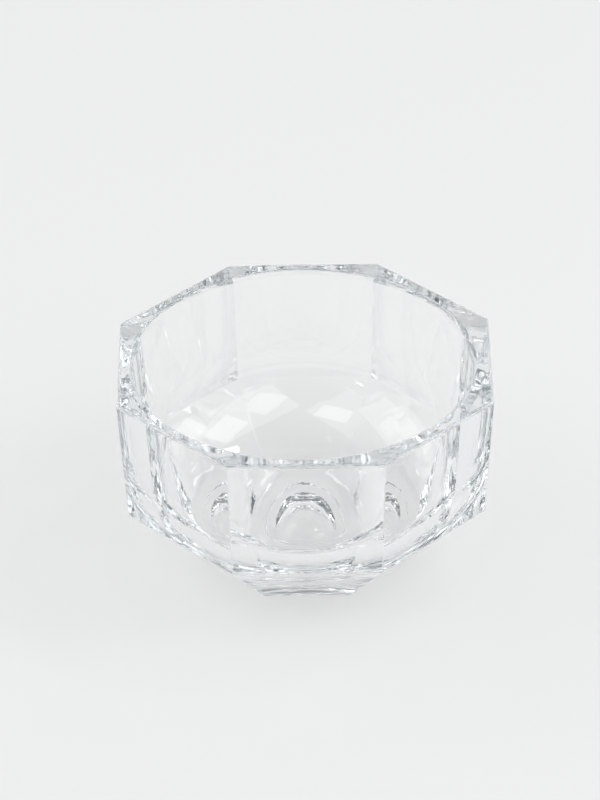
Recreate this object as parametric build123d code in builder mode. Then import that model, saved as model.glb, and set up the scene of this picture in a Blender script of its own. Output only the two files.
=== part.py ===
"""Dappen dish: a small octagonal cup of clear pressed glass, made in one piece.

Eight flat facets that lean in a little towards their lower edge stand on a tapered octagonal
underside. A round well with a wide swept bottom is pressed in from above. A shallow round recess
under the foot leaves a flat ring for the dish to stand on, and a dome in the middle of the recess
keeps the bottom about as thick as the walls.

Frame: millimetres, +Z up, origin at the centre of the plane that the foot stands on. One facet
faces -Y. Sizes across the flats and the height are taken to the sharp edges, before rounding.
"""
import os
from math import radians, tan

from build123d import *

# Outside
FACETS = 8
RIM_FLATS = 60.0  # across the flats at the rim, where the dish is widest
HEIGHT = 34.2
SHOULDER_HEIGHT = 12.8  # lower edge of the facets, where the taper to the foot begins
FACET_DRAFT = 3.5  # degrees that the facets lean in, from the rim down
FOOT_FLATS = 33.6  # across the flats at the foot
RIM_CORNER_RADIUS = 0.3  # on the edges between neighbouring sides, at the rim
SHOULDER_CORNER_RADIUS = 0.5  # the same, at the lower edge of the facets
FOOT_CORNER_RADIUS = 1.0  # the same, at the foot

# Recess and dome under the foot
FOOT_RING = 5.4  # width of the standing ring, at the middle of a side
RECESS_DEPTH = 0.4
DOME_MARGIN = 2.85  # flat of the recess, between the ring and the dome
DOME_HEIGHT = 2.2  # crown of the dome above the flat of the recess

# Well
RIM_WALL = 2.4  # glass between the well and the middle of a facet, at the rim
FLOOR_WALL = 3.1  # glass between the crown of the dome and the bottom of the well
WELL_DRAFT = 4.0  # degrees that the wall of the well leans in, from the rim down
WELL_SWEEP_RADIUS = 15.0  # between the wall of the well and its flat bottom

# Softened edges
RIM_OUTER_ROUND = 0.5
RIM_INNER_ROUND = 0.9
SHOULDER_ROUND = 0.5
FOOT_ROUND = 0.4
RECESS_ROUND = 0.2

# Sizes that follow
facet_turn = 180 / FACETS  # degrees that bring a flat side square to -Y
shoulder_flats = RIM_FLATS - 2 * (HEIGHT - SHOULDER_HEIGHT) * tan(radians(FACET_DRAFT))
recess_radius = FOOT_FLATS / 2 - FOOT_RING
dome_radius = recess_radius - DOME_MARGIN  # in plan, where the dome leaves the flat
dome_curve = (dome_radius**2 + DOME_HEIGHT**2) / (2 * DOME_HEIGHT)
crown_height = RECESS_DEPTH + DOME_HEIGHT
well_floor_height = crown_height + FLOOR_WALL
well_slope = tan(radians(WELL_DRAFT))
well_rim_radius = RIM_FLATS / 2 - RIM_WALL
well_floor_radius = well_rim_radius - (HEIGHT - well_floor_height) * well_slope
cut_above_rim = RIM_WALL  # how far the cutter of the well runs past the rim


def facet_outline(across_flats, corner_radius):
    """Add an octagon with softened corners to the sketch being built."""
    octagon = RegularPolygon(across_flats / 2, FACETS, major_radius=False, rotation=facet_turn)
    fillet(octagon.vertices(), corner_radius)


with BuildPart() as glass_dish:
    # Tapered underside, from the foot up to the shoulder
    with BuildSketch(Plane.XY):
        facet_outline(FOOT_FLATS, FOOT_CORNER_RADIUS)
    with BuildSketch(Plane.XY.offset(SHOULDER_HEIGHT)):
        facet_outline(shoulder_flats, SHOULDER_CORNER_RADIUS)
    loft(ruled=True)

    # Facets, from the shoulder up to the rim
    with BuildSketch(Plane.XY.offset(SHOULDER_HEIGHT)):
        facet_outline(shoulder_flats, SHOULDER_CORNER_RADIUS)
    with BuildSketch(Plane.XY.offset(HEIGHT)):
        facet_outline(RIM_FLATS, RIM_CORNER_RADIUS)
    loft(ruled=True)

    # Round well, open at the rim
    with BuildSketch(Plane.XZ) as well_section:
        with BuildLine():
            Polyline(
                (0, well_floor_height),
                (well_floor_radius, well_floor_height),
                (well_rim_radius + cut_above_rim * well_slope, HEIGHT + cut_above_rim),
                (0, HEIGHT + cut_above_rim),
                close=True,
            )
        make_face()
        floor_corners = well_section.vertices().group_by(Axis.Y)[0]
        fillet(floor_corners.sort_by(Axis.X)[-1], WELL_SWEEP_RADIUS)
    revolve(axis=Axis.Z, mode=Mode.SUBTRACT)

    # Recess inside the standing ring, with the dome in its middle
    with BuildSketch(Plane.XZ):
        with BuildLine():
            Polyline((0, crown_height), (0, 0), (recess_radius, 0), (recess_radius, RECESS_DEPTH))
            Line((recess_radius, RECESS_DEPTH), (dome_radius, RECESS_DEPTH))
            RadiusArc((0, crown_height), (dome_radius, RECESS_DEPTH), dome_curve)
        make_face()
    revolve(axis=Axis.Z, mode=Mode.SUBTRACT)

    # Softened edges, from the rim down
    rim = glass_dish.faces().filter_by(Axis.Z).sort_by(Axis.Z)[-1]
    fillet(rim.inner_wires()[0].edges(), RIM_INNER_ROUND)
    rim = glass_dish.faces().filter_by(Axis.Z).sort_by(Axis.Z)[-1]
    fillet(rim.outer_wire().edges(), RIM_OUTER_ROUND)
    shoulder = glass_dish.edges().filter_by_position(Axis.Z, SHOULDER_HEIGHT, SHOULDER_HEIGHT)
    fillet(shoulder, SHOULDER_ROUND)
    foot = glass_dish.faces().filter_by(Axis.Z).sort_by(Axis.Z)[0]
    fillet(foot.outer_wire().edges(), FOOT_ROUND)
    foot = glass_dish.faces().filter_by(Axis.Z).sort_by(Axis.Z)[0]
    fillet(foot.inner_wires()[0].edges(), RECESS_ROUND)

glass_dish.part.label = "glass_dish"

os.makedirs("parts", exist_ok=True)
export_step(glass_dish.part, "parts/glass_dish.step")
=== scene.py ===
import math

import bpy
from mathutils import Matrix, Vector, noise


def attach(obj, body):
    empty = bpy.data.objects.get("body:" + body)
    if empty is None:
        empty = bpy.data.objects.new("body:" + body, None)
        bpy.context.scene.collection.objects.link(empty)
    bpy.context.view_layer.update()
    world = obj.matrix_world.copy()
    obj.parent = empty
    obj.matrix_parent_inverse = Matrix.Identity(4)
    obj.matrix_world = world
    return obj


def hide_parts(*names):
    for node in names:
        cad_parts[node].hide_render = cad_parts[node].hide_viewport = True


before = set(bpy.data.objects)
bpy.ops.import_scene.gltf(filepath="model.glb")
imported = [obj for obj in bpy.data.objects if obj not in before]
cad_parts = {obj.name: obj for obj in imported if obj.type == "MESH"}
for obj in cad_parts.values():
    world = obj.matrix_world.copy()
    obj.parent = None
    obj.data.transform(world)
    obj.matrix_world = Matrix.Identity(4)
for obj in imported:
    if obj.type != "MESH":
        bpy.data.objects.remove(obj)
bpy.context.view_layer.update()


# ------------------------------------------------------------------ the glass dish
# One piece of clear pressed glass: a gather drops into an eight-sided mould and a round plunger
# presses the well into it. The edges are softened in a flame afterwards, which leaves every face
# faintly rippled, and the plunger never enters quite true, so one wall is a little thicker.

facets = 8
rim_flats = 0.0599          # across two opposite facets at the rim
rim_height = 0.03417
shoulder_flats = 0.0573     # at the lower edge of the facets
shoulder_height = 0.0128
foot_flats = 0.0336
corner_radii = ((foot_flats, 0.0010), (shoulder_flats, 0.0005), (rim_flats, 0.0003))
rim_outer_round = 0.0005
rim_inner_round = 0.0009
shoulder_round = 0.0005
foot_round = 0.0004

well_rim_radius = 0.0276
well_floor_radius = 0.0256  # where the wall would meet the floor without its sweep
well_floor_height = 0.0057
well_sweep = 0.0150

hollow_radius = 0.0114      # shallow recess inside the standing ring
hollow_round = 0.0001
hollow_step = 0.00042       # its roof falls a little from the dome out to its sloping wall
hollow_falls = (0.97, 0.85)
hollow_wall = 0.00012
dome_radius = 0.00855       # deeper dome in the middle of the recess
dome_curve = 0.0180
dome_round = 0.0002
dome_lip = 0.0002
dome_steps = 15

plunger_shift = Vector((-0.00045, 0.0, 0.0))
plunger_squeeze = 0.985     # width of the well along X against its depth along Y
lip_share = 0.6             # how much of the shift shows at the top of the rim
lip_fade = 0.001            # and how quickly the rest of it comes in below

facet_steps = 64            # points along one facet, its half corners included
corner_steps = 4            # of those, in each half corner
small_round_steps = 7       # rows round a small edge; a wide sweep has one row to each wide_turn
wide_round = 0.002
wide_turn = math.radians(3.5)
bottom_disc = 0.0006        # the fan of faces that closes the bottom of the well


def corner_radius(flats, z):
    """The mould's corners sharpen from the foot to the shoulder, and again up to the rim."""
    below, above = corner_radii[:2] if z < shoulder_height else corner_radii[1:]
    share = max(0, min(1, (flats - below[0]) / (above[0] - below[0])))
    return below[1] + (above[1] - below[1]) * share


def octagon_loop(apothem, z):
    """Eight flats with rounded corners, one flat square to -Y, as points of a closed loop."""
    loop = []
    radius = corner_radius(2 * apothem, z)
    half_corner = math.pi / facets
    straight = (apothem - radius) * math.tan(half_corner)
    for facet in range(facets):
        turn = 2 * half_corner * facet
        outward = Vector((math.cos(turn), math.sin(turn), 0))
        along = Vector((-outward.y, outward.x, 0))
        for step in range(facet_steps):
            if corner_steps <= step <= facet_steps - corner_steps:
                share = (step - corner_steps) / (facet_steps - 2 * corner_steps)
                point = outward * apothem + along * straight * (2 * share - 1)
            else:
                before = step < corner_steps
                past = step - (corner_steps if before else facet_steps - corner_steps)
                end = -straight if before else straight
                bend = half_corner * past / corner_steps
                centre = outward * (apothem - radius) + along * end
                point = centre + (outward * math.cos(bend) + along * math.sin(bend)) * radius
            loop.append(Vector((point.x, point.y, z)))
    return loop


loop_turns = [math.atan2(point.y, point.x) for point in octagon_loop(rim_flats / 2, 0)]


def round_loop(radius, z):
    """A circle whose points stand at the same turns as the octagon's."""
    return [Vector((radius * math.cos(turn), radius * math.sin(turn), z)) for turn in loop_turns]


def edge_arc(before, corner, after, rounding):
    """The points of an edge of the section, rounded between the two runs that meet at it."""
    back = (before - corner).normalized()
    on = (after - corner).normalized()
    half = back.angle(on) / 2
    reach = rounding / math.tan(half)
    centre = corner + (back + on).normalized() * rounding / math.sin(half)
    first = corner + back * reach - centre
    last = corner + on * reach - centre
    turned = math.pi - 2 * half
    steps = max(3, round(turned / wide_turn)) if rounding > wide_round else small_round_steps
    arc = []
    for k in range(steps + 1):
        share = k / steps
        spoke = first * math.sin((1 - share) * turned) + last * math.sin(share * turned)
        arc.append(centre + spoke / math.sin(turned))
    return arc


def softened(corners):
    """Walk a section of (radius, height, rounding, roundness, steps) corners, rounding each one.

    Roundness is 0 where the dish is eight-sided and 1 where it is round; steps divide the straight
    run to the next corner. Gives (radius, height, roundness) for every loop of the mesh.
    """
    spots = [Vector(corner[:2]) for corner in corners]
    arcs = [[spot] for spot in spots]
    for i in range(1, len(corners) - 1):
        rounding = corners[i][2]
        if rounding > 0:
            arcs[i] = edge_arc(spots[i - 1], spots[i], spots[i + 1], rounding)
    section = []
    for i, (_, _, _, roundness, steps) in enumerate(corners):
        section += [(spot.x, spot.y, roundness) for spot in arcs[i]]
        if i + 1 < len(corners):
            for k in range(1, steps):
                spot = arcs[i][-1].lerp(arcs[i + 1][0], k / steps)
                between = roundness + (corners[i + 1][3] - roundness) * k / steps
                section.append((spot.x, spot.y, between))
    return section


dome_crown = hollow_step + dome_curve - math.sqrt(dome_curve**2 - dome_radius**2)
dome = []
for k in range(1, dome_steps + 1):
    radius = dome_radius * k / dome_steps
    height = dome_crown - (dome_curve - math.sqrt(dome_curve**2 - radius**2))
    dome.append((radius, height, dome_round if k == dome_steps else 0, 1, 1))

section = softened(dome + [
    (dome_radius + dome_lip, hollow_step * hollow_falls[0], 0, 1, 5),
    (hollow_radius - hollow_wall, hollow_step * hollow_falls[1], hollow_round, 1, 1),
    (hollow_radius, 0.0, hollow_round, 1, 6),
    (foot_flats / 2, 0.0, foot_round, 0, 16),
    (shoulder_flats / 2, shoulder_height, shoulder_round, 0, 28),
    (rim_flats / 2, rim_height, rim_outer_round, 0, 6),
    (well_rim_radius, rim_height, rim_inner_round, 1, 18),
    (well_floor_radius, well_floor_height, well_sweep, 1, 10),
    (bottom_disc, well_floor_height, 0, 1, 1),
])
rim_row = max(range(len(section)), key=lambda row: (section[row][1], section[row][2]))

noise.seed_set(3)           # the same ripples every time
slow_waves = 90             # to a metre
slow_height = 0.00005
slow_start = Vector((3.1, 0.4, 7.7))
quick_waves = 330
quick_height = 0.000008
still_height = 0.002        # the ripple fades out below this, so the standing ring is flat
rim_swell = 0.00002         # the most that a ripple may raise the rim


def rippled(point, inside):
    """The same point on flame-softened glass, a few hundredths of a millimetre off the mould."""
    if inside:
        below_rim = min(1, (rim_height - point.z) / lip_fade + lip_share)
        point = Vector((point.x * plunger_squeeze, point.y, point.z)) + plunger_shift * below_rim
    above_foot = min(1, max(0, point.z / still_height))
    slow = noise.noise_vector(point * slow_waves + slow_start) * slow_height
    quick = noise.noise_vector(point * quick_waves) * quick_height
    moved = point + (slow + quick) * above_foot
    moved.z = min(moved.z, rim_height + rim_swell)
    return moved


well_wrinkles = 0.06
facet_wrinkles = 0.08
taper_wrinkles = 0.8
dome_wrinkles = 0.65
rim_wrinkles = 1.0
rim_skin = 0.0012           # how far down from the top of the rim its skin reaches


def wrinkling(height, inside):
    """How strongly the chill of the mould wrinkles the skin here, from 0 to 1."""
    if height > rim_height - rim_skin:
        return rim_wrinkles
    if inside:
        return well_wrinkles
    if height < shoulder_height - shoulder_round:
        return taper_wrinkles
    return facet_wrinkles


around = len(loop_turns)
points = []
wrinkles = []
for row, (radius, height, roundness) in enumerate(section):
    inside = row >= rim_row
    flat = octagon_loop(radius, height)
    circle = round_loop(radius, height)
    for k in range(around):
        points.append(rippled(flat[k].lerp(circle[k], roundness), inside))
    wrinkles += [wrinkling(height, inside)] * around
dome_top = len(points)
points.append(Vector((0, 0, dome_crown)))
wrinkles.append(dome_wrinkles)
well_bottom = len(points)
points.append(rippled(Vector((0, 0, well_floor_height)), True))
wrinkles.append(well_wrinkles)

faces = []
last_row = (len(section) - 1) * around
for start in range(0, last_row, around):
    for k in range(around):
        on = (k + 1) % around
        faces.append((start + k, start + on, start + around + on, start + around + k))
for k in range(around):
    on = (k + 1) % around
    faces.append((dome_top, on, k))
    faces.append((well_bottom, last_row + k, last_row + on))

dish_mesh = bpy.data.meshes.new("dish")
dish_mesh.from_pydata(points, [], faces)
dish_mesh.polygons.foreach_set("use_smooth", [True] * len(dish_mesh.polygons))
dish_mesh.update()
dish_mesh.attributes.new("wrinkling", "FLOAT", "POINT").data.foreach_set("value", wrinkles)
dish = bpy.data.objects.new("pressed_glass_dish", dish_mesh)
bpy.context.scene.collection.objects.link(dish)
keep_flats_flat = dish.modifiers.new("keep_flats_flat", "WEIGHTED_NORMAL")
keep_flats_flat.weight = 100


class Number:
    """A number that changes over a surface. Arithmetic on it adds Math nodes."""

    def __init__(self, finish, socket):
        self.finish = finish
        self.socket = socket

    def maths(self, operation, first, second):
        sockets = {0: first, 1: second}
        return self.finish.number("ShaderNodeMath", {"operation": operation}, sockets)

    def __add__(self, other):
        return self.maths("ADD", self, other)

    __radd__ = __add__

    def __sub__(self, other):
        return self.maths("SUBTRACT", self, other)

    def __rsub__(self, other):
        return self.maths("SUBTRACT", other, self)

    def __mul__(self, other):
        return self.maths("MULTIPLY", self, other)

    __rmul__ = __mul__


class Finish:
    """The nodes of a material or of the room. One method adds any node and fills its sockets."""

    def __init__(self, owner):
        owner.use_nodes = True
        self.tree = owner.node_tree
        self.tree.nodes.clear()

    def node(self, kind, settings, sockets):
        node = self.tree.nodes.new(kind)
        for name, value in settings.items():
            setattr(node, name, value)
        for name, value in sockets.items():
            if isinstance(value, Number):
                value = value.socket
            if isinstance(value, bpy.types.NodeSocket):
                self.tree.links.new(value, node.inputs[name])
            else:
                node.inputs[name].default_value = value
        return node

    def number(self, kind, settings, sockets, output=0):
        return Number(self, self.node(kind, settings, sockets).outputs[output])

    def place(self, kind="Object"):
        return self.node("ShaderNodeTexCoord", {}, {}).outputs[kind]

    def clouds(self, place, scale, detail, roughness):
        return self.number("ShaderNodeTexNoise", {}, {
            "Vector": place, "Scale": scale, "Detail": detail, "Roughness": roughness})

    def climb(self, value, low, high, interpolation="LINEAR"):
        """From 0 where the value is low or less to 1 where it is high or more."""
        return self.number("ShaderNodeMapRange", {"interpolation_type": interpolation}, {
            "Value": value, "From Min": low, "From Max": high})


glass_material = bpy.data.materials.new("clear_pressed_glass")
glass = Finish(glass_material)
place = glass.place()
above_board = glass.node("ShaderNodeSeparateXYZ", {}, {"Vector": place}).outputs["Z"]
ripple = glass.clouds(place, 420.0, 2.0, 0.45)
chill = glass.clouds(place, 1200.0, 3.0, 0.6)
skin = glass.number("ShaderNodeAttribute", {"attribute_name": "wrinkling"}, {}, "Fac")
standing = 1 - glass.climb(above_board, 0.0, 0.0003)
scuffs = glass.clouds(place, 900.0, 5.0, 0.7)
bump = glass.node("ShaderNodeBump", {}, {
    "Strength": 1.0, "Distance": 0.00003, "Height": ripple * 0.35 + chill * skin * 0.10})
body = glass.node("ShaderNodeBsdfPrincipled", {}, {
    "Base Color": (1.0, 1.0, 1.0, 1.0),
    "Roughness": standing * scuffs * 0.10 + 0.004,
    "IOR": 1.52,
    "Transmission Weight": 1.0,
    "Normal": bump.outputs["Normal"],
})
body_tint = glass.node("ShaderNodeVolumeAbsorption", {}, {
    "Color": (0.80, 0.87, 0.90, 1.0), "Density": 8.0})
glass.node("ShaderNodeOutputMaterial", {}, {
    "Surface": body.outputs[0], "Volume": body_tint.outputs[0]})
dish_mesh.materials.append(glass_material)

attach(dish, "root")
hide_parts("glass_dish")


# ------------------------------------------------------------------ the board
# A wide sheet of matt white board under the dish. It glows a little by itself, as a board lit
# from below does, so that the shadow beside the clear glass stays pale.

board_reach = 0.6
board_drop = 0.00003        # keeps the board just clear of the standing ring
board_mesh = bpy.data.meshes.new("board")
board_mesh.from_pydata(
    [(x * board_reach, y * board_reach, 0) for x, y in ((-1, -1), (1, -1), (1, 1), (-1, 1))],
    [], [(0, 1, 2, 3)])
board = bpy.data.objects.new("board", board_mesh)
board.location.z = -board_drop
bpy.context.scene.collection.objects.link(board)

board_material = bpy.data.materials.new("matt_white_board")
paper = Finish(board_material)
grain = paper.clouds(paper.place(), 60.0, 2.0, 0.5)
sheet = paper.node("ShaderNodeBsdfPrincipled", {}, {
    "Base Color": (0.38, 0.38, 0.38, 1.0),
    "Roughness": grain * 0.05 + 0.93,
    "Specular IOR Level": 0.0,
    "Emission Color": (1.0, 1.0, 1.0, 1.0),
    "Emission Strength": 0.558,
})
paper.node("ShaderNodeOutputMaterial", {}, {"Surface": sheet.outputs[0]})
board_mesh.materials.append(board_material)


# ------------------------------------------------------------------ the light
# A white studio. Its wall glows behind the dish, and the ceiling and the side where one stands
# are dim; lit boxes and lamps hang round it, which give the glass its bright and dark edges.

studio = bpy.data.worlds.new("studio")
bpy.context.scene.world = studio
room = Finish(studio)
turn_to = room.node("ShaderNodeSeparateXYZ", {}, {"Vector": room.place("Generated")})
under_ceiling = 1 - room.climb(turn_to.outputs["Z"], 0.55, 0.62, "SMOOTHSTEP")
behind = room.climb(turn_to.outputs["Y"], -0.25, 0.0, "SMOOTHSTEP")
dimmest = 0.15
lit = under_ceiling * behind * (1 - dimmest) + dimmest
tint = room.node("ShaderNodeMix", {"data_type": "RGBA"}, {
    "Factor": lit, 6: (0.82, 0.90, 1.0, 1.0), 7: (1.0, 0.99, 0.985, 1.0)}).outputs[2]
walls = room.node("ShaderNodeBackground", {}, {"Color": tint, "Strength": lit * 0.9})
room.node("ShaderNodeOutputWorld", {}, {"Surface": walls.outputs[0]})


def soft_box(name, bearing, rise, width, height, glow):
    """A lit fabric box a metre away. Bearing turns from +Y towards +X; glow is its radiance."""
    lamp = bpy.data.lights.new(name, "AREA")
    lamp.shape = "RECTANGLE"
    lamp.size = width
    lamp.size_y = height
    lamp.energy = glow * math.pi * width * height
    box = bpy.data.objects.new(name, lamp)
    bearing = math.radians(bearing)
    rise = math.radians(rise)
    level = math.cos(rise)
    box.location = (math.sin(bearing) * level, math.cos(bearing) * level, math.sin(rise))
    box.rotation_euler = box.location.to_track_quat("Z", "Y").to_euler()
    bpy.context.scene.collection.objects.link(box)


soft_box("box_right", 124, 44, 1.3, 0.75, 1.3)
soft_box("box_left", -144, 57, 0.36, 0.28, 2.2)
soft_box("wall_left", -85, 35, 1.2, 0.6, 1.3)
soft_box("window_right", 98, 46, 0.42, 0.36, 2.1)
soft_box("window_back", 60, 58, 0.14, 0.14, 9.0)
for number, (bearing, rise) in enumerate([(-45, 42), (-14, 48), (20, 42), (48, 47)]):
    soft_box(f"ceiling_lamp_{number}", bearing, rise, 0.10, 0.10, 4.0)


# ------------------------------------------------------------------ the camera
# A long lens looks down at the dish from the front, square to one facet. It stands on a ray that
# rises from the dish's foot, then pans and tilts off it a little and leans to one side.

camera_rise = 0.6099        # radians above the board
camera_away = 0.7696
pan = 0.0011
tilt = 0.0291
roll = 0.0132

ray = Vector((0, -math.cos(camera_rise), math.sin(camera_rise)))
forward = -ray
right = Vector((1, 0, 0))
up = right.cross(forward)
turn = Matrix.Rotation(pan, 3, up)
forward = turn @ forward
right = turn @ right
turn = Matrix.Rotation(tilt, 3, right)
forward = turn @ forward
up = turn @ up
turn = Matrix.Rotation(roll, 3, forward)
up = turn @ up
right = turn @ right

lens = bpy.data.cameras.new("camera")
lens.lens = 210.5
lens.sensor_width = 36.0
lens.clip_start = 0.01
lens.clip_end = 20.0
camera = bpy.data.objects.new("camera", lens)
bpy.context.scene.collection.objects.link(camera)
stand = Matrix((right, up, -forward)).transposed().to_4x4()
stand.translation = ray * camera_away
camera.matrix_world = stand
bpy.context.scene.camera = camera
bpy.context.scene.view_settings.view_transform = "Standard"
bpy.context.scene.cycles.max_bounces = 24
bpy.context.scene.cycles.transmission_bounces = 24
bpy.context.scene.cycles.glossy_bounces = 16
